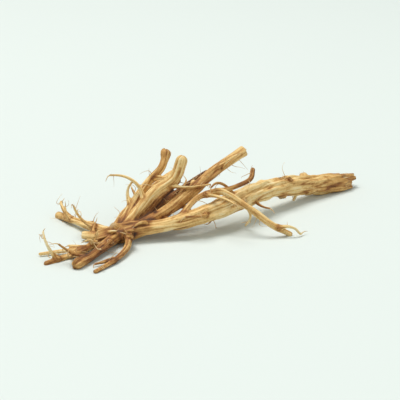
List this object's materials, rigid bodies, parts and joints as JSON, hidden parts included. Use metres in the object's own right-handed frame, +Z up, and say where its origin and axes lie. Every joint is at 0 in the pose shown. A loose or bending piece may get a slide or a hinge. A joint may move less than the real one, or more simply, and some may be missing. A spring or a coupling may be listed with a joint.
{
  "type": "ginseng root",
  "caption": "Dried ginseng root lying down: a furrowed body torn at one end, dividing into fanned fingers, trailing tails and fine side rootlets.",
  "frame": {"origin": "centre of the bounding box, at the table the root lies on", "axes": "+X along the root from its crown and tails towards the torn end, +Z up from the table"},
  "size_m": [0.0764, 0.0384, 0.0143],
  "materials": {
    "root_bark": "dry matte bark, furrowed along its length"
  },
  "bodies": {
    "root": {"ginseng_root": "root_bark"}
  },
  "joints": []
}
